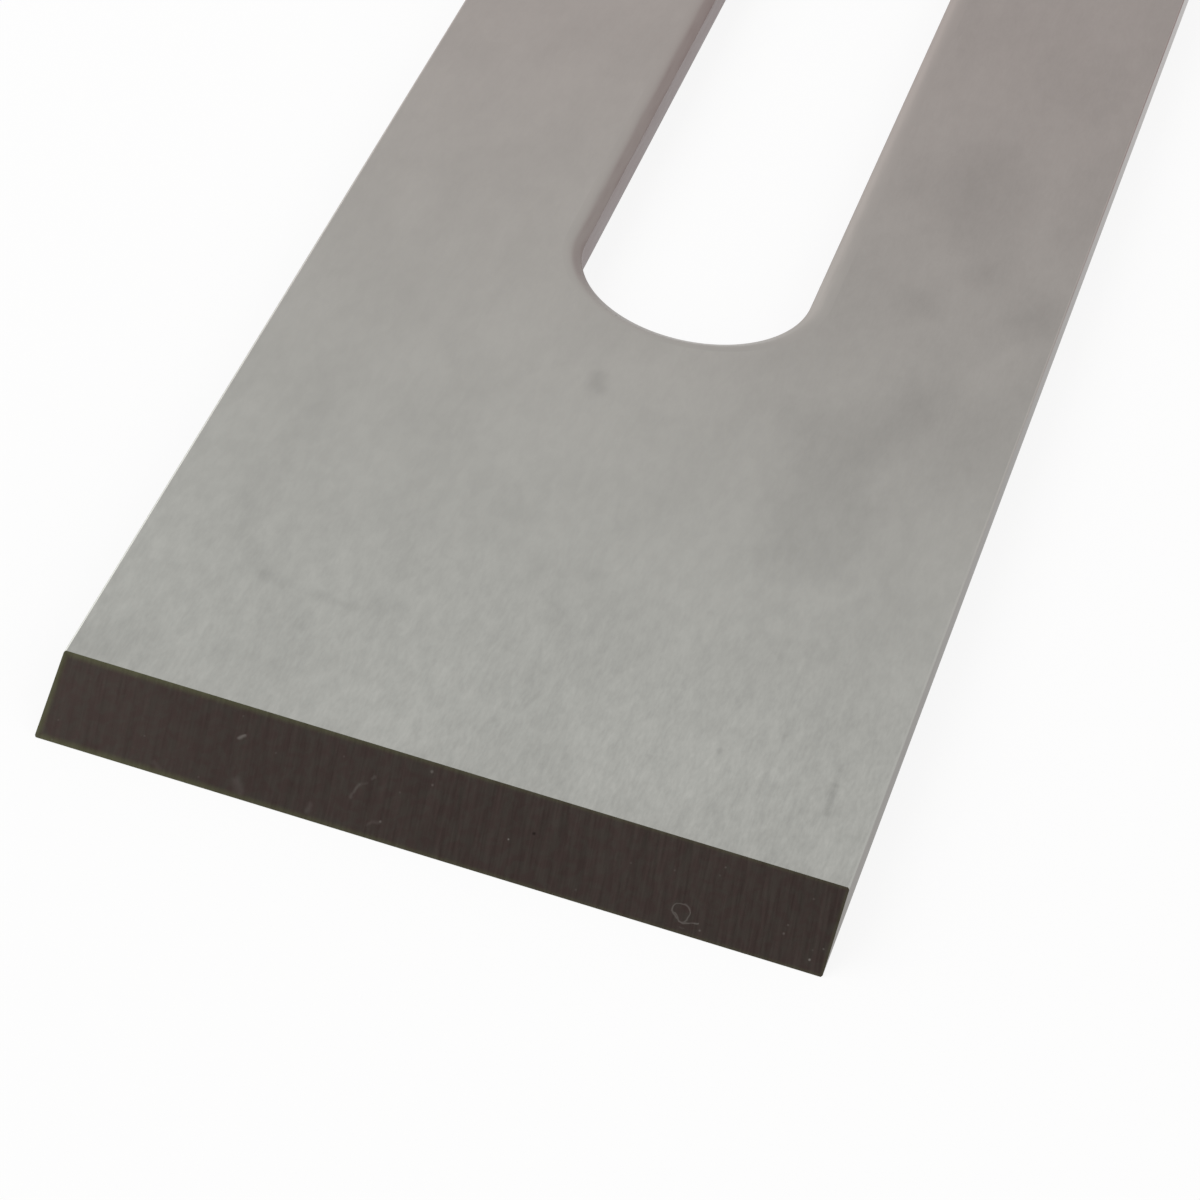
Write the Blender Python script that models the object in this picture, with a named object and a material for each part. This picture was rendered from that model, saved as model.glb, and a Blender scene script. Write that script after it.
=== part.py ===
# Plane blade: a flat steel iron with a ground bevel at the front and a slot down its middle
import math

import bmesh
import bpy

MM = 0.001

# Driving dimensions, in metres
BLADE_WIDTH = 41.3 * MM
BLADE_LENGTH = 150.0 * MM
BLADE_THICKNESS = 3.0 * MM
BEVEL_ANGLE = math.radians(40.0)
BACK_CORNER_RADIUS = 5.0 * MM
SLOT_WIDTH = 13.5 * MM
SLOT_START = 45.5 * MM  # from the cutting edge to the slot's front end
SLOT_END_MARGIN = 25.0 * MM  # from the slot's rear end to the blade's back end
OUTLINE_BREAK = 0.1 * MM  # 45 degree break along the long edges and the back end
SLOT_BREAK = 0.35 * MM  # 45 degree break round the slot on both faces

# Straight steps in each round stretch
CORNER_STEPS = 12
SLOT_END_STEPS = 40

# How far the cutters and the uncut blank reach past the finished blade
CUT_CLEARANCE = 2.0 * MM

# Finish
STEEL_COLOUR = (0.38, 0.38, 0.36, 1.0)
STEEL_ROUGHNESS = 0.38
STEEL_METALLIC = 1.0
SMOOTH_ANGLE = math.radians(20.0)

# Lengthwise places, with the origin under the middle of the blade
FRONT_Y = -BLADE_LENGTH / 2
BACK_Y = BLADE_LENGTH / 2
SLOT_FRONT_Y = FRONT_Y + SLOT_START
SLOT_REAR_Y = BACK_Y - SLOT_END_MARGIN


def clear_scene():
    for item in list(bpy.data.objects):
        bpy.data.objects.remove(item, do_unlink=True)


def arc_points(centre_x, centre_y, radius, start, end, steps):
    """Points along an arc, from the start angle to the end angle, both included."""
    points = []
    for step in range(steps + 1):
        angle = start + (end - start) * step / steps
        points.append((centre_x + radius * math.cos(angle), centre_y + radius * math.sin(angle)))
    return points


def blank_outline(inset):
    """The blank's outline in plan, drawn in by the inset, with rounded corners at the back."""
    half = BLADE_WIDTH / 2 - inset
    centre_x = BLADE_WIDTH / 2 - BACK_CORNER_RADIUS
    centre_y = BACK_Y - BACK_CORNER_RADIUS
    radius = BACK_CORNER_RADIUS - inset
    front = FRONT_Y - CUT_CLEARANCE
    right = arc_points(centre_x, centre_y, radius, 0.0, math.pi / 2, CORNER_STEPS)
    left = arc_points(-centre_x, centre_y, radius, math.pi / 2, math.pi, CORNER_STEPS)
    return [(-half, front), (half, front)] + right + left


def slot_outline(grow):
    """The slot's outline in plan, a strip with half-round ends, let out by the given amount."""
    radius = SLOT_WIDTH / 2
    front_centre = SLOT_FRONT_Y + radius
    rear_centre = SLOT_REAR_Y - radius
    front = arc_points(0.0, front_centre, radius + grow, math.pi, 2 * math.pi, SLOT_END_STEPS)
    rear = arc_points(0.0, rear_centre, radius + grow, 0.0, math.pi, SLOT_END_STEPS)
    return front + rear


def layered_solid(name, layers):
    """A closed solid through outlines of equal point count, each given with its height."""
    mesh = bpy.data.meshes.new(name)
    shape = bmesh.new()
    rings = []
    for height, outline in layers:
        rings.append([shape.verts.new((x, y, height)) for x, y in outline])
    shape.faces.new(list(reversed(rings[0])))
    for lower, upper in zip(rings, rings[1:]):
        count = len(lower)
        for i in range(count):
            j = (i + 1) % count
            shape.faces.new((lower[i], lower[j], upper[j], upper[i]))
    shape.faces.new(rings[-1])
    shape.to_mesh(mesh)
    shape.free()
    item = bpy.data.objects.new(name, mesh)
    bpy.context.scene.collection.objects.link(item)
    return item


def make_blank():
    """The full-length bar with its edges broken, longer at the front than the finished blade."""
    inner = blank_outline(OUTLINE_BREAK)
    outer = blank_outline(0.0)
    layers = [
        (0.0, inner),
        (OUTLINE_BREAK, outer),
        (BLADE_THICKNESS - OUTLINE_BREAK, outer),
        (BLADE_THICKNESS, inner),
    ]
    return layered_solid("blade", layers)


def make_slot_cutter():
    """The slot's cutter, flared at both faces so that it also breaks the slot's edges."""
    flared = slot_outline(SLOT_BREAK + CUT_CLEARANCE)
    straight = slot_outline(0.0)
    layers = [
        (-CUT_CLEARANCE, flared),
        (SLOT_BREAK, straight),
        (BLADE_THICKNESS - SLOT_BREAK, straight),
        (BLADE_THICKNESS + CUT_CLEARANCE, flared),
    ]
    return layered_solid("slot_cutter", layers)


def make_bevel_cutter():
    """The wedge that grinds the bevel: all that lies in front of the plane through the cutting edge."""
    reach_down = CUT_CLEARANCE
    reach_up = BLADE_THICKNESS + CUT_CLEARANCE
    slope = 1.0 / math.tan(BEVEL_ANGLE)
    low_y = FRONT_Y - reach_down * slope
    high_y = FRONT_Y + reach_up * slope
    front = low_y - CUT_CLEARANCE
    half = BLADE_WIDTH / 2 + CUT_CLEARANCE
    low = [(-half, front), (half, front), (half, low_y), (-half, low_y)]
    high = [(-half, front), (half, front), (half, high_y), (-half, high_y)]
    return layered_solid("bevel_cutter", [(-reach_down, low), (reach_up, high)])


def cut(target, cutter):
    """Subtracts the cutter from the target and hides the cutter."""
    modifier = target.modifiers.new(cutter.name, "BOOLEAN")
    modifier.operation = "DIFFERENCE"
    modifier.solver = "EXACT"
    modifier.object = cutter
    cutter.hide_render = True
    cutter.display_type = "WIRE"
    cutter.parent = target


def steel_material():
    material = bpy.data.materials.new("ground_steel")
    material.use_nodes = True
    shader = material.node_tree.nodes["Principled BSDF"]
    shader.inputs["Base Color"].default_value = STEEL_COLOUR
    shader.inputs["Roughness"].default_value = STEEL_ROUGHNESS
    shader.inputs["Metallic"].default_value = STEEL_METALLIC
    return material


def main():
    clear_scene()
    blade = make_blank()
    blade.data.materials.append(steel_material())
    blade.data.shade_smooth()
    blade.data.set_sharp_from_angle(angle=SMOOTH_ANGLE)
    cut(blade, make_slot_cutter())
    cut(blade, make_bevel_cutter())


main()
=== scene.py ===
import math

import bmesh
import bpy
from mathutils import Matrix, Vector


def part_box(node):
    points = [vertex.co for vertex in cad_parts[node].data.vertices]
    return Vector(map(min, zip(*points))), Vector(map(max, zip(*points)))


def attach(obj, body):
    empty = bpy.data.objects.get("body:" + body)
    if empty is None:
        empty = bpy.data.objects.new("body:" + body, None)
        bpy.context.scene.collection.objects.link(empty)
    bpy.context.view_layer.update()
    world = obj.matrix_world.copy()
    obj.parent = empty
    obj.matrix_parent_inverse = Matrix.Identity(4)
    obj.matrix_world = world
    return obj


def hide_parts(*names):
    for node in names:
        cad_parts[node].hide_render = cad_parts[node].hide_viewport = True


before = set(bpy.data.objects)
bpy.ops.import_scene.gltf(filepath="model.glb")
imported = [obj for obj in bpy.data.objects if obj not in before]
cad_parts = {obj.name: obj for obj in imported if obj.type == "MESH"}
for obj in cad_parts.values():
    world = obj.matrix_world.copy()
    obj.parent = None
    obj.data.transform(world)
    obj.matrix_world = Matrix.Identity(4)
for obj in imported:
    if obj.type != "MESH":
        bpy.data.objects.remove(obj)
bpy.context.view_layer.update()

mm = 0.001
cadLow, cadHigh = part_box("blade")
frontY = cadLow[1]  # the cutting edge
backY = cadHigh[1]
bladeWidth = cadHigh[0] - cadLow[0]
thickness = cadHigh[2] - cadLow[2]


# Node helpers

def addNode(tree, kind, plugs=None, **settings):
    # plugs maps an input's name or number to a value or to another node's socket
    node = tree.nodes.new(kind)
    for name, value in settings.items():
        setattr(node, name, value)
    for name, value in (plugs or {}).items():
        if isinstance(value, bpy.types.NodeSocket):
            tree.links.new(value, node.inputs[name])
        else:
            node.inputs[name].default_value = value
    return node


def calc(tree, operation, *values):
    return addNode(tree, "ShaderNodeMath", dict(enumerate(values)), operation=operation).outputs[0]


def vectorCalc(tree, operation, *values):
    node = addNode(tree, "ShaderNodeVectorMath", dict(enumerate(values)), operation=operation)
    return node.outputs["Value" if operation in {"LENGTH", "DOT_PRODUCT"} else "Vector"]


def ramp(tree, value, low, high, toLow=0.0, toHigh=1.0, kind="SMOOTHSTEP"):
    plugs = {"Value": value, "From Min": low, "From Max": high, "To Min": toLow, "To Max": toHigh}
    return addNode(tree, "ShaderNodeMapRange", plugs, interpolation_type=kind).outputs["Result"]


def mixColour(tree, share, first, second, blend="MIX"):
    plugs = {0: share, 6: first, 7: second}
    return addNode(tree, "ShaderNodeMix", plugs, data_type="RGBA", blend_type=blend).outputs[2]


def axisValue(tree, vector, axis):
    return addNode(tree, "ShaderNodeSeparateXYZ", {"Vector": vector}).outputs[axis]


def startGroup(name, inputs, output):
    group = bpy.data.node_groups.new(name, "ShaderNodeTree")
    for label, value in inputs.items():
        kind = "NodeSocketVector" if isinstance(value, tuple) else "NodeSocketFloat"
        socket = group.interface.new_socket(name=label, in_out="INPUT", socket_type=kind)
        socket.default_value = value
    group.interface.new_socket(name=output, in_out="OUTPUT", socket_type="NodeSocketFloat")
    return group, group.nodes.new("NodeGroupInput").outputs, group.nodes.new("NodeGroupOutput").inputs


def useGroup(tree, group, plugs):
    return addNode(tree, "ShaderNodeGroup", plugs, node_tree=group).outputs[0]


# Shared effects; every length inside them is in millimetres, and Part picks a stretch of a noise

effectLook = {
    "spread": (0.3, 0.7),  # the middle of a noise, drawn out to run from nought to one
    "fineLines": {"Detail": 3.0, "Roughness": 0.6},
    "coarseLines": {"Detail": 2.0, "Roughness": 0.5},
    "coarseScale": (0.31, 0.37, 0.0),  # against the fine lines
    "coarseShift": (7.7, 3.4, 0.0),
    "coarseShare": 0.4,
    "clouds": {"Detail": 3.0, "Roughness": 0.5, "Distortion": 0.3},
    "cutterMarks": {"Detail": 3.0, "Roughness": 0.55},
    "wander": {"Detail": 2.0},
    "spotReach": 0.5,  # share of its width and length at which a spot has faded out
}


def readNoise(tree, place, look, scale=1.0, dimensions="2D"):
    plugs = {"Vector": place, "Scale": scale, **look}
    return addNode(tree, "ShaderNodeTexNoise", plugs, noise_dimensions=dimensions).outputs


def makeGrindLines():
    inputs = {"Place": (0.0, 0.0, 0.0), "Spacing": 0.2, "Length": 2.5, "Skew": 0.0, "Part": (0.0, 0.0, 0.0)}
    group, given, result = startGroup("grindLines", inputs, "Lines")
    plugs = {"Vector": given["Place"], "Angle": given["Skew"]}
    turned = addNode(group, "ShaderNodeVectorRotate", plugs, rotation_type="Z_AXIS").outputs[0]
    sides = {0: given["Spacing"], 1: given["Length"], 2: 1.0}
    cell = addNode(group, "ShaderNodeCombineXYZ", sides).outputs[0]
    scaled = vectorCalc(group, "ADD", vectorCalc(group, "DIVIDE", turned, cell), given["Part"])
    fine = readNoise(group, scaled, effectLook["fineLines"])[0]
    shift = effectLook["coarseShift"]
    coarsePlace = vectorCalc(group, "MULTIPLY_ADD", scaled, effectLook["coarseScale"], shift)
    coarse = readNoise(group, coarsePlace, effectLook["coarseLines"])[0]
    share = effectLook["coarseShare"]
    both = calc(group, "MULTIPLY_ADD", coarse, share, calc(group, "MULTIPLY", fine, 1 - share))
    group.links.new(ramp(group, both, *effectLook["spread"], kind="LINEAR"), result[0])
    return group


def makeSoftClouds():
    inputs = {"Place": (0.0, 0.0, 0.0), "Size": 10.0, "Part": (0.0, 0.0, 0.0)}
    group, given, result = startGroup("softClouds", inputs, "Clouds")
    cell = addNode(group, "ShaderNodeCombineXYZ", {0: given["Size"], 1: given["Size"], 2: 1.0}).outputs[0]
    scaled = vectorCalc(group, "ADD", vectorCalc(group, "DIVIDE", given["Place"], cell), given["Part"])
    clouds = readNoise(group, scaled, effectLook["clouds"])[0]
    group.links.new(ramp(group, clouds, *effectLook["spread"]), result[0])
    return group


def makeRoundSpot():
    inputs = {"Place": (0.0, 0.0, 0.0), "Middle": (0.0, 0.0, 0.0), "Width": 1.0, "Length": 1.0}
    group, given, result = startGroup("roundSpot", inputs, "Spot")
    reach = addNode(group, "ShaderNodeCombineXYZ", {0: given["Width"], 1: given["Length"], 2: 1.0}).outputs[0]
    fromMiddle = vectorCalc(group, "SUBTRACT", given["Place"], given["Middle"])
    away = vectorCalc(group, "LENGTH", vectorCalc(group, "DIVIDE", fromMiddle, reach))
    group.links.new(ramp(group, away, 0.0, effectLook["spotReach"], 1.0, 0.0), result[0])
    return group


def makeStroke():
    inputs = {"Place": (0.0, 0.0, 0.0), "Start": (0.0, 0.0, 0.0), "End": (1.0, 0.0, 0.0), "Width": 0.1}
    group, given, result = startGroup("stroke", inputs, "Stroke")
    fromStart = vectorCalc(group, "SUBTRACT", given["Place"], given["Start"])
    run = vectorCalc(group, "SUBTRACT", given["End"], given["Start"])
    along = vectorCalc(group, "DOT_PRODUCT", fromStart, run)
    share = calc(group, "DIVIDE", along, vectorCalc(group, "DOT_PRODUCT", run, run))
    held = addNode(group, "ShaderNodeClamp", {"Value": share}).outputs[0]
    nearest = addNode(group, "ShaderNodeVectorMath", {0: run, "Scale": held}, operation="SCALE").outputs[0]
    away = vectorCalc(group, "LENGTH", vectorCalc(group, "SUBTRACT", fromStart, nearest))
    group.links.new(ramp(group, away, 0.0, given["Width"], 1.0, 0.0), result[0])
    return group


def makeRing():
    inputs = {"Place": (0.0, 0.0, 0.0), "Middle": (0.0, 0.0, 0.0), "Radius": 0.5, "Width": 0.1}
    group, given, result = startGroup("ring", inputs, "Ring")
    away = vectorCalc(group, "LENGTH", vectorCalc(group, "SUBTRACT", given["Place"], given["Middle"]))
    fromLine = calc(group, "ABSOLUTE", calc(group, "SUBTRACT", away, given["Radius"]))
    group.links.new(ramp(group, fromLine, 0.0, given["Width"], 1.0, 0.0), result[0])
    return group


def makeDust():
    inputs = {"Place": (0.0, 0.0, 0.0), "Cell": 1.5, "Share": 0.1, "Size": 0.05}
    group, given, result = startGroup("dust", inputs, "Dust")
    cell = addNode(group, "ShaderNodeCombineXYZ", {0: given["Cell"], 1: given["Cell"], 2: 1.0}).outputs[0]
    look = {"Vector": vectorCalc(group, "DIVIDE", given["Place"], cell), "Scale": 1.0}
    cells = addNode(group, "ShaderNodeTexVoronoi", look, voronoi_dimensions="2D")
    chance = axisValue(group, cells.outputs["Color"], 0)
    chosen = calc(group, "LESS_THAN", chance, given["Share"])
    edge = calc(group, "DIVIDE", given["Size"], given["Cell"])
    dot = ramp(group, cells.outputs["Distance"], 0.0, edge, 1.0, 0.0)
    group.links.new(calc(group, "MULTIPLY", dot, chosen), result[0])
    return group


grindLines = makeGrindLines()
softClouds = makeSoftClouds()
roundSpot = makeRoundSpot()
stroke = makeStroke()
ring = makeRing()
dust = makeDust()
print("shared effects ready")


# Materials

def surfacePlace(tree, stretch=1.0):
    # millimetres across the blade and back from the cutting edge, flattened
    start = addNode(tree, "ShaderNodeTexCoord").outputs["Object"]
    shifted = vectorCalc(tree, "SUBTRACT", start, (0.0, frontY, 0.0))
    return vectorCalc(tree, "MULTIPLY", shifted, (1 / mm, stretch / mm, 0.0))


def addAll(tree, values):
    total = values[0]
    for value in values[1:]:
        total = calc(tree, "ADD", total, value)
    return total


def strongest(tree, values):
    top = values[0]
    for value in values[1:]:
        top = calc(tree, "MAXIMUM", top, value)
    return top


def startSteel(name):
    material = bpy.data.materials.new(name)
    material.use_nodes = True
    shader = material.node_tree.nodes["Principled BSDF"]
    shader.inputs["Metallic"].default_value = 1.0
    return material, material.node_tree, shader


def finishSteel(tree, shader, look, colour, roughness, height):
    # roughness and height run from nought to one over the surface
    tree.links.new(colour, shader.inputs["Base Color"])
    low = look["roughness"] - look["roughnessVaries"] / 2
    rough = calc(tree, "MULTIPLY_ADD", roughness, look["roughnessVaries"], low)
    tree.links.new(rough, shader.inputs["Roughness"])
    bump = {"Height": height, "Distance": look["relief"], "Strength": 1.0}
    tree.links.new(addNode(tree, "ShaderNodeBump", bump).outputs[0], shader.inputs["Normal"])


def shaded(tree, colour, shade):
    # colour times a grey value
    return addNode(tree, "ShaderNodeVectorMath", {0: colour, "Scale": shade}, operation="SCALE").outputs[0]


def spotAt(tree, place, middleX, middleY, width, length, strength):
    plugs = {"Place": place, "Middle": (middleX, middleY, 0.0), "Width": width, "Length": length}
    return calc(tree, "MULTIPLY", useGroup(tree, roundSpot, plugs), strength)


def strokeFrom(tree, place, start, end, width, strength):
    plugs = {"Place": place, "Start": (*start, 0.0), "End": (*end, 0.0), "Width": width}
    return calc(tree, "MULTIPLY", useGroup(tree, stroke, plugs), strength)


faceLook = {
    "front": (0.371, 0.373, 0.350, 1.0),
    "back": (0.335, 0.300, 0.283, 1.0),
    "driftFrom": 6.0,
    "driftTo": 95.0,
    "rightShade": 0.09,  # how much darker the right side is towards the back
    "rightFrom": (-8.0, 16.0),
    "rightBackFrom": (18.0, 55.0),
    "lineSpacing": 0.3,
    "lineLength": 1.5,
    "lineShade": 0.065,
    "linePart": (31.7, 12.3, 0.0),  # the stretch of noise that the lines are read from
    "fleckSpacing": 0.17,
    "fleckLength": 0.65,
    "fleckShade": 0.15,
    "fleckPart": (157.1, 40.9, 0.0),
    "lineFade": (6.0, 30.0, 0.25),  # full up to the first, and this share from the second on
    "grainAcross": (-19.0, 19.0, 0.72, 1.18),  # from, to, and how strong the lines are there
    "cloudSize": 4.6,
    "cloudShade": 0.05,
    "cloudPart": (12.9, 71.3, 0.0),
    "mottleSize": 0.8,
    "mottleShade": 0.055,
    "mottlePart": (83.5, 26.7, 0.0),
    "mottleFade": (12.0, 48.0, 0.35),
    "lengthwise": 2.3,  # how much longer the clouds and the mottle are along the blade
    "wobble": (1.2, 2.0, 0.0),  # how far the stains' edges wander
    "wobbleSize": 2.6,
    "roughness": 0.36,
    "roughnessVaries": 0.08,
    "relief": 0.0007 * mm,
    # across, back from the edge, width, length, how much darker, or lighter below nought
    "stains": [
        (-2.35, 38.5, 2.2, 3.8, 0.13),
        (14.6, 45.0, 5.0, 9.0, 0.085),
        (13.2, 41.0, 7.0, 8.0, 0.075),
        (9.1, 41.0, 5.0, 8.0, 0.06),
        (11.4, 38.0, 8.0, 8.5, 0.07),
        (13.3, 34.0, 5.0, 10.0, 0.085),
        (10.9, 34.0, 6.0, 10.0, 0.065),
        (11.2, 29.0, 6.5, 10.0, 0.075),
        (13.6, 29.5, 4.5, 8.0, 0.07),
        (8.9, 27.0, 4.0, 6.0, 0.03),
        (13.7, 71.0, 8.0, 20.0, 0.045),
        (11.4, 68.0, 7.0, 13.0, 0.06),
        (13.4, 64.0, 4.5, 8.0, 0.03),
        (15.2, 60.0, 3.5, 6.0, 0.065),
        (12.4, 55.5, 5.0, 7.0, 0.085),
        (19.1, 57.0, 4.5, 9.0, 0.08),
        (19.6, 67.5, 4.0, 11.0, 0.045),
        (18.5, 42.0, 7.0, 16.0, 0.03),
        (-12.2, 46.0, 3.5, 24.0, 0.03),
        (-16.0, 30.5, 6.0, 16.0, 0.045),
        (-9.5, 31.0, 9.0, 12.0, 0.055),
        (-15.9, 21.0, 3.0, 13.0, 0.055),
        (2.1, 21.7, 2.0, 2.4, 0.05),
        (1.4, 18.0, 3.4, 4.4, 0.05),
        (-0.9, 21.5, 5.0, 5.0, 0.02),
        (3.4, 14.0, 3.0, 4.0, 0.02),
        (-18.8, 4.8, 9.0, 8.5, 0.1),
        (-12.0, 9.0, 10.0, 14.0, 0.02),
        (9.0, 21.4, 0.9, 1.4, 0.05),
        (13.2, 19.8, 1.0, 1.5, 0.04),
        (12.0, 24.0, 1.6, 3.0, 0.03),
        (-5.9, 18.2, 0.9, 1.3, 0.06),
        (-4.3, 13.2, 1.6, 2.2, 0.035),
        (12.1, 10.6, 0.75, 1.1, 0.11),
        (8.9, 8.6, 0.6, 0.85, 0.11),
        (-12.0, 20.5, 8.0, 9.0, 0.045),
        (3.5, 20.0, 9.0, 8.0, 0.025),
        (0.0, 12.0, 6.0, 7.0, 0.03),
        (-4.5, 5.5, 12.0, 7.0, -0.035),
        (18.5, 6.0, 5.0, 7.0, -0.035),
        (18.5, 20.0, 5.0, 9.0, -0.03),
        (18.0, 50.0, 6.0, 10.0, -0.035),
        (9.5, 9.0, 15.0, 14.0, -0.05),
        (3.7, 11.5, 1.8, 2.2, -0.05),
        (1.4, 26.5, 4.0, 5.0, -0.02),
        (2.9, 34.0, 3.0, 16.0, -0.015),
        (-6.0, 42.0, 12.0, 20.0, -0.02),
        (1.5, 41.0, 11.0, 9.0, -0.035),
    ],
    # smears and scratches: start, end, width, how much darker
    "strokes": [
        ((-15.3, 16.4), (-13.6, 14.2), 1.0, 0.04),
        ((-13.7, 14.2), (-12.6, 13.9), 0.95, 0.06),
        ((-12.4, 13.9), (-10.4, 13.6), 0.7, 0.025),
        ((-10.2, 13.7), (-9.9, 13.5), 0.75, 0.075),
        ((-9.5, 13.5), (-8.0, 13.6), 0.55, 0.05),
        ((-7.2, 14.1), (-6.2, 14.8), 0.9, 0.035),
        ((18.05, 12.6), (18.12, 10.9), 0.3, 0.07),
        ((18.12, 10.9), (18.2, 8.5), 0.34, 0.13),
        ((14.9, 15.0), (14.6, 8.6), 0.22, 0.05),
    ],
}


def centred(tree, value, amount):
    # the value swings by the amount about nought
    return calc(tree, "MULTIPLY", calc(tree, "SUBTRACT", value, 0.5), amount)


def fadeBack(tree, back, fade):
    fadeFrom, fadeTo, faded = fade
    return ramp(tree, back, fadeFrom, fadeTo, 1.0, faded)


def wander(tree, place, size, reach):
    # the place shifted a little by soft noise
    noise = readNoise(tree, place, effectLook["wander"], 1 / size)["Color"]
    shift = vectorCalc(tree, "MULTIPLY", vectorCalc(tree, "SUBTRACT", noise, (0.5, 0.5, 0.5)), reach)
    return vectorCalc(tree, "ADD", place, shift)


def driftingTone(tree, back, look):
    # a surface's tone, drifting from the cutting edge to the rear end; on the sides and the slot's walls
    # partly painted shade
    drift = ramp(tree, back, look["driftFrom"], look["driftTo"])
    return mixColour(tree, drift, look["front"], look["back"])


def makeGroundFace():
    look = faceLook
    material, tree, shader = startSteel("groundFace")
    place = surfacePlace(tree)
    across = axisValue(tree, place, 0)
    back = axisValue(tree, place, 1)
    plugs = {"Place": place, "Spacing": look["lineSpacing"], "Length": look["lineLength"]}
    lines = useGroup(tree, grindLines, {**plugs, "Part": look["linePart"]})
    plugs = {"Place": place, "Spacing": look["fleckSpacing"], "Length": look["fleckLength"]}
    flecks = useGroup(tree, grindLines, {**plugs, "Part": look["fleckPart"]})
    shortened = vectorCalc(tree, "MULTIPLY", place, (1.0, 1 / look["lengthwise"], 1.0))
    plugs = {"Place": shortened, "Size": look["cloudSize"], "Part": look["cloudPart"]}
    clouds = useGroup(tree, softClouds, plugs)
    plugs = {"Place": shortened, "Size": look["mottleSize"], "Part": look["mottlePart"]}
    mottle = useGroup(tree, softClouds, plugs)
    lineFade = fadeBack(tree, back, look["lineFade"])
    mottleFade = fadeBack(tree, back, look["mottleFade"])
    wobbled = wander(tree, place, look["wobbleSize"], look["wobble"])
    darker = [spotAt(tree, wobbled, *stain) for stain in look["stains"]]
    darker += [strokeFrom(tree, place, *mark) for mark in look["strokes"]]
    rightward = ramp(tree, across, *look["rightFrom"], 0.0, look["rightShade"])
    darker.append(calc(tree, "MULTIPLY", rightward, ramp(tree, back, *look["rightBackFrom"])))
    lineShade = centred(tree, lines, look["lineShade"])
    grinding = calc(tree, "ADD", lineShade, centred(tree, flecks, look["fleckShade"]))
    grainShare = calc(tree, "MULTIPLY", lineFade, ramp(tree, across, *look["grainAcross"]))
    shade = addAll(tree, [
        calc(tree, "MULTIPLY", grinding, grainShare),
        centred(tree, clouds, look["cloudShade"]),
        calc(tree, "MULTIPLY", centred(tree, mottle, look["mottleShade"]), mottleFade),
    ])
    lit = calc(tree, "SUBTRACT", calc(tree, "ADD", 1.0, shade), addAll(tree, darker))
    finishSteel(tree, shader, look, shaded(tree, driftingTone(tree, back, look), lit), lines, flecks)
    return material


bevelLook = {
    "angle": math.radians(40.0),
    # painted reflection: the polished bevel's steel is painted dark, standing in for the dark studio that it
    # mirrors
    "colour": (0.068, 0.0500, 0.0455, 1.0),
    "cool": (0.0625, 0.0525, 0.0460, 1.0),
    # painted glint: a thin lighter olive line along the bevel's borders
    "borderGlint": (0.098, 0.098, 0.058, 1.0),
    "borderGlintAcross": (-19.0, 12.0),  # from the left, where the painted glint is plainest, to the right
    "borderGlintWidth": (0.42, 0.24),
    "borderGlintShare": (1.0, 0.5),
    "leftLift": 0.16,  # how much lighter the left end is
    "leftFrom": (-9.0, -20.0),
    "lineSpacing": 0.14,
    "lineLength": 2.1,
    "lineSkew": math.radians(-7.0),
    "linePart": (221.3, 64.1, 0.0),
    "lineShade": 0.21,
    "lineAcross": (-15.0, 10.0, 0.75, 1.15),  # from, to, and how strong the lines are there
    "mottleSize": 0.55,
    "mottleShade": 0.11,
    "mottlePart": (144.7, 59.9, 0.0),
    "roughness": 0.42,
    "roughnessVaries": 0.1,
    "relief": 0.0006 * mm,
    "fluff": (0.30, 0.28, 0.26, 1.0),
    # across, up the slope, size, strength
    "specks": [
        (-0.96, 4.17, 0.26, 0.26),
        (-0.72, 3.53, 0.2, 0.2),
        (-2.64, 1.0, 0.22, 0.3),
        (3.75, 2.03, 0.15, 0.5),
        (14.48, 3.85, 0.17, 0.18),
        (14.20, 0.45, 0.19, 0.25),
        (18.20, 1.53, 0.2, 0.24),
        (18.28, 2.00, 0.17, 0.18),
        (19.80, 0.66, 0.2, 0.6),
        (20.30, 1.37, 0.16, 0.26),
        (19.11, 3.62, 0.18, 0.13),
    ],
    # start, end, width, strength
    "hairs": [
        ((-10.73, 2.90), (-10.52, 3.08), 0.15, 0.3),
        ((-4.42, 1.76), (-4.25, 2.45), 0.18, 0.12),
        ((-4.20, 2.55), (-3.95, 2.75), 0.13, 0.06),
        ((-3.75, 2.95), (-3.62, 3.05), 0.14, 0.1),
        ((-6.35, 0.45), (-6.25, 0.85), 0.26, 0.08),
        ((-10.2, 0.85), (-9.75, 0.4), 0.36, 0.08),
        ((-14.4, 0.5), (-14.1, 0.3), 0.22, 0.05),
        ((-3.2, 0.76), (-2.7, 0.98), 0.17, 0.07),
        ((12.62, 0.9), (13.05, 0.6), 0.06, 0.2),
        ((13.05, 0.6), (14.08, 0.72), 0.065, 0.25),
        ((13.2, 0.33), (13.4, 0.4), 0.08, 0.07),
    ],
    "bend": (0.4, 0.4, 0.0),  # how far the hairs stray from a true line
    "bendSize": 0.8,
    "curl": (13.06, 1.07, 0.45, 0.065, 0.21),  # across, up the slope, radius, width, strength
    "pit": (4.88, 2.68, 0.28, 0.6),  # across, up the slope, size, how much darker
    "strayCell": 1.1,  # one stray speck may lie in each cell
    "strayShare": 0.09,  # share of the cells that hold one
    "straySize": 0.09,
    "strayStrength": 0.1,
}


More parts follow.
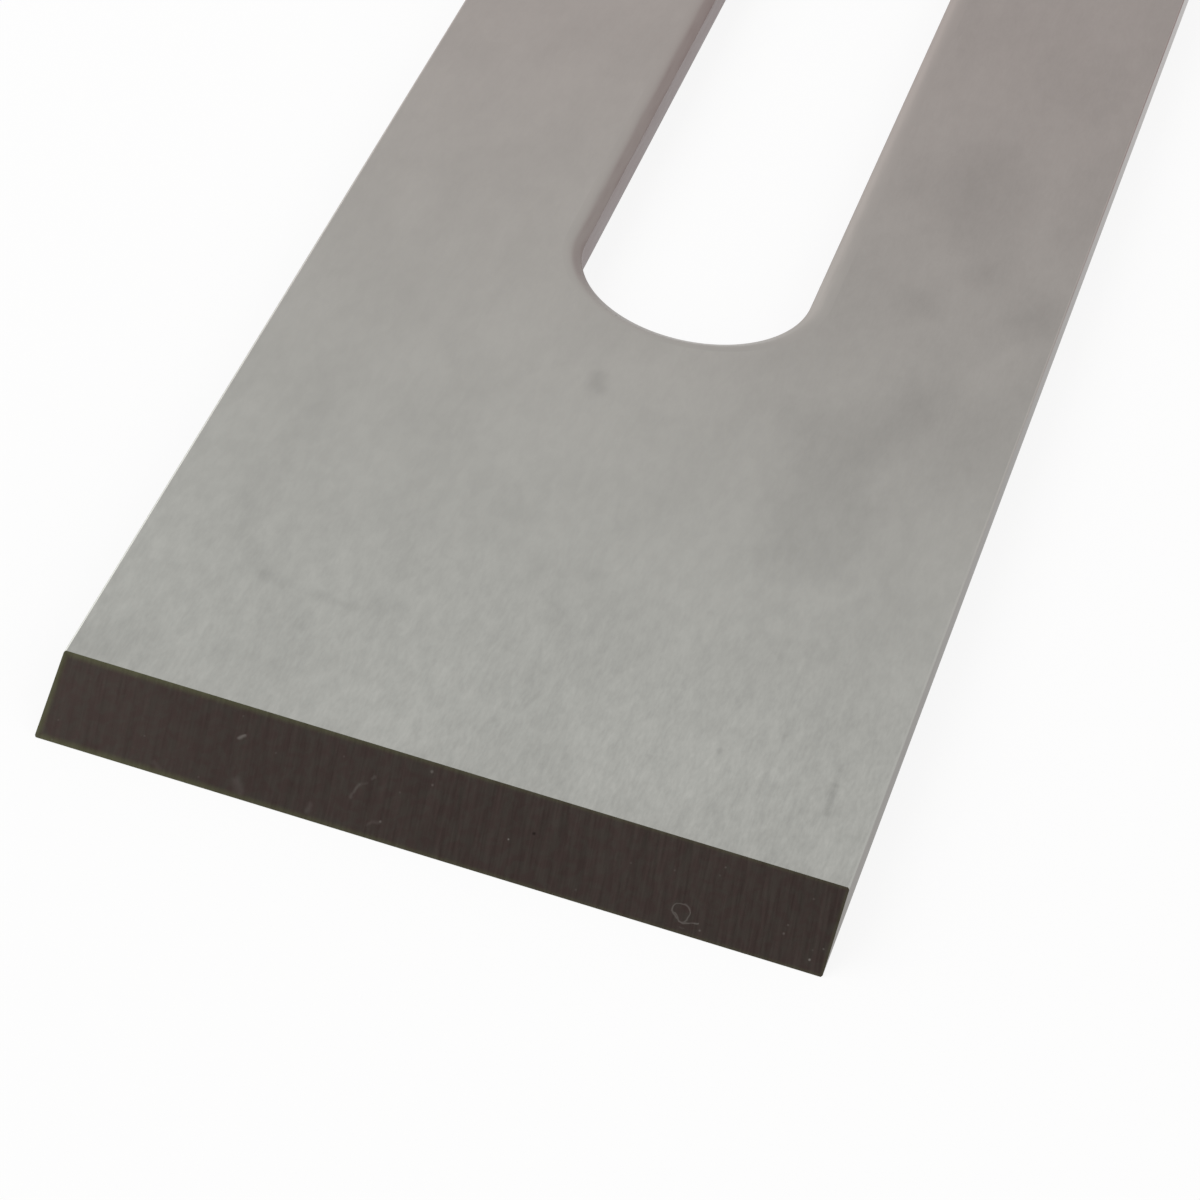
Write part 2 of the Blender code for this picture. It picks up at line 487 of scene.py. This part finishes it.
def makeGroundBevel():
    look = bevelLook
    material, tree, shader = startSteel("groundBevel")
    place = surfacePlace(tree, 1 / math.cos(look["angle"]))
    plugs = {"Place": place, "Spacing": look["lineSpacing"], "Length": look["lineLength"]}
    lines = useGroup(tree, grindLines, {**plugs, "Part": look["linePart"], "Skew": look["lineSkew"]})
    plugs = {"Place": place, "Size": look["mottleSize"], "Part": look["mottlePart"]}
    mottle = useGroup(tree, softClouds, plugs)
    across = axisValue(tree, place, 0)
    leftward = ramp(tree, across, *reversed(look["leftFrom"]), look["leftLift"], 0.0)
    lineShare = ramp(tree, across, *look["lineAcross"])
    lineShade = calc(tree, "MULTIPLY", centred(tree, lines, look["lineShade"]), lineShare)
    shade = addAll(tree, [1.0, lineShade, centred(tree, mottle, look["mottleShade"]), leftward])
    slope = thickness / mm / math.sin(look["angle"])
    up = axisValue(tree, place, 1)
    fromSide = calc(tree, "SUBTRACT", bladeWidth / mm / 2, calc(tree, "ABSOLUTE", across))
    fromHeel = calc(tree, "SUBTRACT", slope, up)
    nearest = calc(tree, "MINIMUM", calc(tree, "MINIMUM", up, fromHeel), fromSide)
    # a painted glint along the bevel's borders, fading in from them
    borderGlintWidth = ramp(tree, across, *look["borderGlintAcross"], *look["borderGlintWidth"])
    borderGlintShare = ramp(tree, across, *look["borderGlintAcross"], *look["borderGlintShare"])
    borderGlint = calc(tree, "MULTIPLY", ramp(tree, nearest, 0.0, borderGlintWidth, 1.0, 0.0), borderGlintShare)
    fluff = [spotAt(tree, place, x, y, size, size, strength) for x, y, size, strength in look["specks"]]
    bent = wander(tree, place, look["bendSize"], look["bend"])
    fluff += [strokeFrom(tree, bent, *hair) for hair in look["hairs"]]
    middleX, middleY, radius, width, strength = look["curl"]
    plugs = {"Place": bent, "Middle": (middleX, middleY, 0.0), "Radius": radius, "Width": width}
    fluff.append(calc(tree, "MULTIPLY", useGroup(tree, ring, plugs), strength))
    plugs = {"Cell": look["strayCell"], "Share": look["strayShare"], "Size": look["straySize"]}
    plugs["Place"] = place
    fluff.append(calc(tree, "MULTIPLY", useGroup(tree, dust, plugs), look["strayStrength"]))
    lying = strongest(tree, fluff)
    middleX, middleY, size, strength = look["pit"]
    pit = spotAt(tree, place, middleX, middleY, size, size, strength)
    # the dark steel is a painted reflection, and the lighter line along the borders is a painted glint
    steel = mixColour(tree, mottle, look["colour"], look["cool"])
    steel = mixColour(tree, borderGlint, steel, look["borderGlint"])
    steel = shaded(tree, steel, calc(tree, "SUBTRACT", shade, pit))
    tree.links.new(calc(tree, "SUBTRACT", 1.0, lying), shader.inputs["Metallic"])
    finishSteel(tree, shader, look, mixColour(tree, lying, steel, look["fluff"]), lines, lines)
    return material


backLook = {
    "colour": (0.42, 0.415, 0.40, 1.0),
    "lineSpacing": 0.16,
    "lineLength": 9.0,
    "crossing": math.radians(34.0),  # how far each of the two passes is turned from the blade's length
    "lineShade": 0.1,
    "linePart": (331.3, 45.7, 0.0),
    "cloudSize": 14.0,
    "cloudShade": 0.06,
    "cloudPart": (27.9, 35.1, 0.0),
    "roughness": 0.3,
    "roughnessVaries": 0.08,
    "relief": 0.0005 * mm,
}


def makeLappedBack():
    look = backLook
    material, tree, shader = startSteel("lappedBack")
    place = surfacePlace(tree)
    passes = []
    for skew in (look["crossing"], -look["crossing"]):
        plugs = {"Place": place, "Spacing": look["lineSpacing"], "Length": look["lineLength"]}
        passes.append(useGroup(tree, grindLines, {**plugs, "Skew": skew, "Part": look["linePart"]}))
    lines = calc(tree, "MULTIPLY", calc(tree, "ADD", *passes), 0.5)
    plugs = {"Place": place, "Size": look["cloudSize"], "Part": look["cloudPart"]}
    clouds = useGroup(tree, softClouds, plugs)
    lineShade = centred(tree, lines, look["lineShade"])
    shade = addAll(tree, [1.0, lineShade, centred(tree, clouds, look["cloudShade"])])
    finishSteel(tree, shader, look, shaded(tree, look["colour"][:3], shade), clouds, lines)
    return material


slotLook = {
    # painted shade: the slot's walls are painted dark and purplish, as the shade inside the slot, over the
    # milled steel's tone
    "front": (0.186, 0.138, 0.134, 1.0),
    "back": (0.193, 0.145, 0.141, 1.0),
    "driftFrom": 45.0,
    "driftTo": 125.0,
    # the breaks' tone as a share of that of the flat face beside them, at that face and further down; the
    # right side's breaks are painted lighter going down, a painted highlight, and the left side's a little
    # darker, painted shade
    "wornPaintedLight": (1.0, 0.95),
    "wornPaintedLightRight": (0.95, 1.2),
    "wornPaintedLightBlend": (-5.0, 5.0),  # across, from the left side's tone to the right side's
    "wornPaintedLightRise": (0.0, 0.25 * mm),  # depths that the two tones belong to
    "wornPaintedLightDepth": (0.46 * mm, 0.37 * mm),  # all wall from the first down, all break above the second
    "wornMarks": 0.25,  # share of the cutter marks that is left on the breaks
    "across": 1.5,  # size of the cutter marks each way
    "along": 3.0,
    "up": 0.09,
    "shade": 0.3,
    "roughness": 0.4,
    "roughnessVaries": 0.12,
    "relief": 0.0008 * mm,
}

sideLook = {
    # painted shade: the sides are painted darker near the cutting edge and lighter towards the rear end
    "front": (0.343, 0.340, 0.328, 1.0),
    "back": (0.525, 0.495, 0.485, 1.0),
    "driftFrom": 6.0,
    "driftTo": 150.0,
    # the breaks are painted lighter than the face beside them, a painted highlight
    "wornPaintedLight": (1.12, 1.12),
    "wornPaintedLightRight": (1.12, 1.12),
    "wornPaintedLightBlend": (-5.0, 5.0),
    "wornPaintedLightRise": (0.0, 0.1 * mm),
    "wornPaintedLightDepth": (0.1 * mm, 0.05 * mm),
    "wornMarks": 0.6,
    "across": 0.1,
    "along": 2.6,
    "up": 0.1,
    "shade": 0.16,
    "roughness": 0.34,
    "roughnessVaries": 0.1,
    "relief": 0.0006 * mm,
}


def makeMachinedEdge(name, look):
    # cutter marks, and on the breaks a tone that starts from the flat face beside them, painted lighter or
    # darker there as highlight and shade
    material, tree, shader = startSteel(name)
    start = addNode(tree, "ShaderNodeTexCoord").outputs["Object"]
    lengths = (1 / look["across"] / mm, 1 / look["along"] / mm, 1 / look["up"] / mm)
    stretched = vectorCalc(tree, "MULTIPLY", start, lengths)
    noise = readNoise(tree, stretched, effectLook["cutterMarks"], dimensions="3D")[0]
    cuts = ramp(tree, noise, *effectLook["spread"], kind="LINEAR")
    overMiddle = calc(tree, "SUBTRACT", axisValue(tree, start, 2), thickness / 2)
    deep = calc(tree, "SUBTRACT", thickness / 2, calc(tree, "ABSOLUTE", overMiddle))
    wornPaintedLight = ramp(tree, deep, *reversed(look["wornPaintedLightDepth"]), 1.0, 0.0)
    place = surfacePlace(tree)
    across = axisValue(tree, place, 0)
    pairs = zip(look["wornPaintedLight"], look["wornPaintedLightRight"])
    ends = [ramp(tree, across, *look["wornPaintedLightBlend"], *pair) for pair in pairs]
    # painted highlight and shade: the breaks' tone as a share of the face's, lighter or darker across and
    # down
    share = ramp(tree, deep, *look["wornPaintedLightRise"], *ends)
    back = axisValue(tree, place, 1)
    upper = calc(tree, "GREATER_THAN", overMiddle, 0.0)
    nearFace = mixColour(tree, upper, backLook["colour"], driftingTone(tree, back, faceLook))
    base = mixColour(tree, wornPaintedLight, driftingTone(tree, back, look), shaded(tree, nearFace, share))
    left = ramp(tree, wornPaintedLight, 0.0, 1.0, 1.0, look["wornMarks"], kind="LINEAR")
    marks = calc(tree, "MULTIPLY", centred(tree, cuts, look["shade"]), left)
    shade = calc(tree, "ADD", 1.0, marks)
    finishSteel(tree, shader, look, shaded(tree, base, shade), cuts, cuts)
    return material


bladeMaterials = {
    "face": makeGroundFace(),
    "bevel": makeGroundBevel(),
    "side": makeMachinedEdge("groundSide", sideLook),
    "slot": makeMachinedEdge("milledSlotPaintedShade", slotLook),
    "back": makeLappedBack(),
}
print("materials ready")


# The blade

bladeShape = {
    "bevelAngle": bevelLook["angle"],
    "slotWidth": 13.5 * mm,
    "slotStart": 45.5 * mm,  # from the cutting edge
    "slotEndMargin": 25.0 * mm,  # from the rear end
    "cornerRadius": 5.0 * mm,
    # a break's depth, its width, and how far the face and the wall roll into it
    "edgeBreak": (0.07 * mm, 0.07 * mm, 0.03 * mm, 0.03 * mm),
    "slotBreak": (0.38 * mm, 0.75 * mm, 0.45 * mm, 0.04 * mm),
    "rollShare": (0.35, 0.07),  # how far along the break itself the face's and the wall's rolling reach
    "softSteps": 6,
    "cornerSteps": 20,
    "slotEndSteps": 72,
    "spareFront": 2.0 * mm,  # ground away with the bevel
    "flatFrom": 0.9999,  # a normal this close to upright belongs to a flat face
    "cutCloseness": 1e-8,  # points this near the bevel's plane count as on it
}


def arcPoints(middleX, middleY, radius, start, end, steps):
    turns = [start + (end - start) * step / steps for step in range(steps + 1)]
    return [(middleX + radius * math.cos(turn), middleY + radius * math.sin(turn)) for turn in turns]


def bladeOutline(inset):
    # anticlockwise from the middle of the front, with a point at the middle of the back
    radius = bladeShape["cornerRadius"]
    steps = bladeShape["cornerSteps"]
    half = bladeWidth / 2 - inset
    front = frontY - bladeShape["spareFront"]
    middleX = bladeWidth / 2 - radius
    middleY = backY - radius
    right = arcPoints(middleX, middleY, radius - inset, 0.0, math.pi / 2, steps)
    left = arcPoints(-middleX, middleY, radius - inset, math.pi / 2, math.pi, steps)
    return [(0.0, front), (half, front)] + right + [(0.0, backY - inset)] + left + [(-half, front)]


def slotOutline(grow):
    # anticlockwise from the middle of the front end, let out by the given amount
    radius = bladeShape["slotWidth"] / 2
    steps = bladeShape["slotEndSteps"]
    front = frontY + bladeShape["slotStart"] + radius
    rear = backY - bladeShape["slotEndMargin"] - radius
    quarter = steps // 2
    firstHalf = arcPoints(0.0, front, radius + grow, -math.pi / 2, 0.0, quarter)
    rearEnd = arcPoints(0.0, rear, radius + grow, 0.0, math.pi, steps)
    lastHalf = arcPoints(0.0, front, radius + grow, math.pi, 1.5 * math.pi, quarter)
    return firstHalf + rearEnd + lastHalf[:-1]


def softCorner(first, corner, last):
    # a short curve from the first point to the last, pulled towards the corner
    points = []
    for step in range(bladeShape["softSteps"] + 1):
        share = step / bladeShape["softSteps"]
        ends = Vector(first) * (1 - share) ** 2 + Vector(last) * share ** 2
        points.append(tuple(ends + Vector(corner) * 2 * share * (1 - share)))
    return points


def breakProfile(depth, width, faceRoll, wallRoll):
    # depth under the face and inset from the wall, from the face down to the wall
    faceShare, wallShare = bladeShape["rollShare"]
    upperEnd = (depth * faceShare, width * (1 - faceShare))
    upper = softCorner((0.0, width + faceRoll), (0.0, width), upperEnd)
    lowerStart = (depth * (1 - wallShare), width * wallShare)
    lower = softCorner(lowerStart, (depth, 0.0), (depth + wallRoll, 0.0))
    return upper + lower


def wallRings(shape, outline, edge):
    # rings of points from the back face up to the top face, broken at both
    profile = breakProfile(*edge)
    levels = profile + [(thickness - depth, inset) for depth, inset in reversed(profile)]
    return [[shape.verts.new((x, y, z)) for x, y in outline(inset)] for z, inset in levels]


def skinRings(shape, rings):
    for lower, upper in zip(rings, rings[1:]):
        for i in range(len(lower)):
            j = (i + 1) % len(lower)
            face = shape.faces.new((lower[i], lower[j], upper[j], upper[i]))
            face.smooth = True


def capHalves(shape, outer, inner):
    # a flat face with the slot in it, as a right and a left half, split at the outlines' middle points
    outerBack = 2 + bladeShape["cornerSteps"] + 1
    innerRear = 2 * (bladeShape["slotEndSteps"] // 2) + 1
    rightOuter = outer[:outerBack + 1]
    rightInner = inner[:innerRear + 1]
    leftOuter = outer[outerBack:] + outer[:1]
    leftInner = inner[innerRear:] + inner[:1]
    shape.faces.new(rightOuter + list(reversed(rightInner)))
    shape.faces.new(leftOuter + list(reversed(leftInner)))


def grindBevel(shape):
    angle = bladeShape["bevelAngle"]
    outward = Vector((0.0, -math.sin(angle), math.cos(angle)))
    everything = list(shape.verts) + list(shape.edges) + list(shape.faces)
    plane = {"plane_co": Vector((0.0, frontY, 0.0)), "plane_no": outward}
    closeness = bladeShape["cutCloseness"]
    bmesh.ops.bisect_plane(shape, geom=everything, dist=closeness, clear_outer=True, **plane)
    openEdges = [side for side in shape.edges if side.is_boundary]
    bmesh.ops.holes_fill(shape, edges=openEdges, sides=0)
    return outward


def surfaceOf(face, bevelOut):
    flat = bladeShape["flatFrom"]
    if face.normal.dot(bevelOut) > flat:
        return "bevel"
    if face.normal.z > flat:
        return "face"
    if face.normal.z < -flat:
        return "back"
    middle = face.calc_center_median()
    beforeEnd = middle.y < backY - bladeShape["slotEndMargin"] / 2
    return "slot" if abs(middle.x) < bladeShape["slotWidth"] and beforeEnd else "side"


def buildBlade():
    shape = bmesh.new()
    outer = wallRings(shape, bladeOutline, bladeShape["edgeBreak"])
    inner = wallRings(shape, slotOutline, bladeShape["slotBreak"])
    skinRings(shape, outer)
    skinRings(shape, inner)
    capHalves(shape, outer[0], inner[0])
    capHalves(shape, outer[-1], inner[-1])
    bevelOut = grindBevel(shape)
    bmesh.ops.recalc_face_normals(shape, faces=shape.faces)
    order = list(bladeMaterials)
    for face in shape.faces:
        surface = surfaceOf(face, bevelOut)
        face.material_index = order.index(surface)
        if surface == "bevel":
            face.smooth = False
    mesh = bpy.data.meshes.new("bladeSteel")
    shape.to_mesh(mesh)
    shape.free()
    for surface in order:
        mesh.materials.append(bladeMaterials[surface])
    piece = bpy.data.objects.new("bladeSteel", mesh)
    bpy.context.scene.collection.objects.link(piece)
    return piece


bladeSteel = buildBlade()
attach(bladeSteel, "root")
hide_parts("blade")
print("blade ready:", len(bladeSteel.data.polygons), "faces")


# Studio

floorLook = {
    "size": 6.0,
    "drop": 0.02 * mm,
    "colour": (0.88, 0.88, 0.88, 1.0),
    "white": 0.85,  # share of plain white that the camera and the steel see
}


def seenByCameraOrMetal(tree):
    paths = addNode(tree, "ShaderNodeLightPath").outputs
    return strongest(tree, [paths["Is Camera Ray"], paths["Is Glossy Ray"], paths["Is Transmission Ray"]])


def makeFloor():
    material = bpy.data.materials.new("studioFloor")
    material.use_nodes = True
    tree = material.node_tree
    tree.nodes.clear()
    paper = addNode(tree, "ShaderNodeBsdfDiffuse", {"Color": floorLook["colour"]}).outputs[0]
    white = addNode(tree, "ShaderNodeEmission", {"Color": (1.0, 1.0, 1.0, 1.0), "Strength": 1.0}).outputs[0]
    share = calc(tree, "MULTIPLY", seenByCameraOrMetal(tree), floorLook["white"])
    mixed = addNode(tree, "ShaderNodeMixShader", {0: share, 1: paper, 2: white}).outputs[0]
    addNode(tree, "ShaderNodeOutputMaterial", {"Surface": mixed})
    half = floorLook["size"] / 2
    sides = ((-half, -half), (half, -half), (half, half), (-half, half))
    corners = [(x, y, -floorLook["drop"]) for x, y in sides]
    mesh = bpy.data.meshes.new("studioFloor")
    mesh.from_pydata(corners, [], [(0, 1, 2, 3)])
    mesh.materials.append(material)
    floor = bpy.data.objects.new("studioFloor", mesh)
    bpy.context.scene.collection.objects.link(floor)


skyLook = {
    "white": (1.0, 1.0, 1.0, 1.0),
    "horizon": (0.93, 0.89, 0.875, 1.0),
    "horizonTop": 0.62,  # sine of the height at which it has turned white
    "dark": (0.42, 0.40, 0.39, 1.0),
    "darkTowards": (0.0, -0.464, 0.876),  # high up over the camera's side
    "darkInner": 0.99,
    "darkOuter": 0.84,
    "dusk": (0.60, 0.49, 0.50, 1.0),
    "duskTowards": (0.565, 0.811, 0.15),  # low down behind the blade, to the right
    "duskInner": 0.97,
    "duskOuter": 0.8,
    "fill": 0.97,  # strength for diffuse light
}


def makeWorld():
    world = bpy.data.worlds.new("studioWorld")
    world.use_nodes = True
    bpy.context.scene.world = world
    tree = world.node_tree
    tree.nodes.clear()
    look = skyLook
    towards = addNode(tree, "ShaderNodeTexCoord").outputs["Generated"]
    height = axisValue(tree, towards, 2)
    colour = mixColour(tree, ramp(tree, height, 0.0, look["horizonTop"]), look["horizon"], look["white"])
    for patch in ("dark", "dusk"):
        near = vectorCalc(tree, "DOT_PRODUCT", towards, look[patch + "Towards"])
        share = ramp(tree, near, look[patch + "Outer"], look[patch + "Inner"])
        colour = mixColour(tree, share, colour, look[patch])
    paths = addNode(tree, "ShaderNodeLightPath").outputs
    colour = mixColour(tree, paths["Is Camera Ray"], colour, look["white"])
    strength = ramp(tree, seenByCameraOrMetal(tree), 0.0, 1.0, look["fill"], 1.0, kind="LINEAR")
    sky = addNode(tree, "ShaderNodeBackground", {"Color": colour, "Strength": strength}).outputs[0]
    addNode(tree, "ShaderNodeOutputWorld", {"Surface": sky})


lampLook = {
    "place": Vector((-0.42, 0.10, 0.52)),
    "aim": Vector((0.0, 0.0, 0.0)),
    "size": 0.5,
    "power": 1.1,
}


def aimAt(place, aim):
    return (aim - place).to_track_quat("-Z", "Y").to_matrix()


def makeLamp():
    data = bpy.data.lights.new("softLamp", "AREA")
    data.size = lampLook["size"]
    data.energy = lampLook["power"]
    lamp = bpy.data.objects.new("softLamp", data)
    turned = aimAt(lampLook["place"], lampLook["aim"])
    lamp.matrix_world = Matrix.Translation(lampLook["place"]) @ turned.to_4x4()
    bpy.context.scene.collection.objects.link(lamp)


cameraLook = {
    "place": Vector((35.10, -260.95, 163.39)) * mm,
    "aim": Vector((3.065, -54.978, 3.0)) * mm,  # where the picture's middle falls on the blade
    "roll": math.radians(11.155),
    "lens": 150.78,
    "sensor": 36.0,
    "nearest": 0.01,
}


def makeCamera():
    data = bpy.data.cameras.new("photoCamera")
    data.sensor_width = cameraLook["sensor"]
    data.lens = cameraLook["lens"]
    data.clip_start = cameraLook["nearest"]
    camera = bpy.data.objects.new("photoCamera", data)
    turned = aimAt(cameraLook["place"], cameraLook["aim"]) @ Matrix.Rotation(cameraLook["roll"], 3, "Z")
    camera.matrix_world = Matrix.Translation(cameraLook["place"]) @ turned.to_4x4()
    bpy.context.scene.collection.objects.link(camera)
    bpy.context.scene.camera = camera


makeFloor()
makeWorld()
makeLamp()
makeCamera()
bpy.context.scene.view_settings.view_transform = "Standard"
print("studio ready")
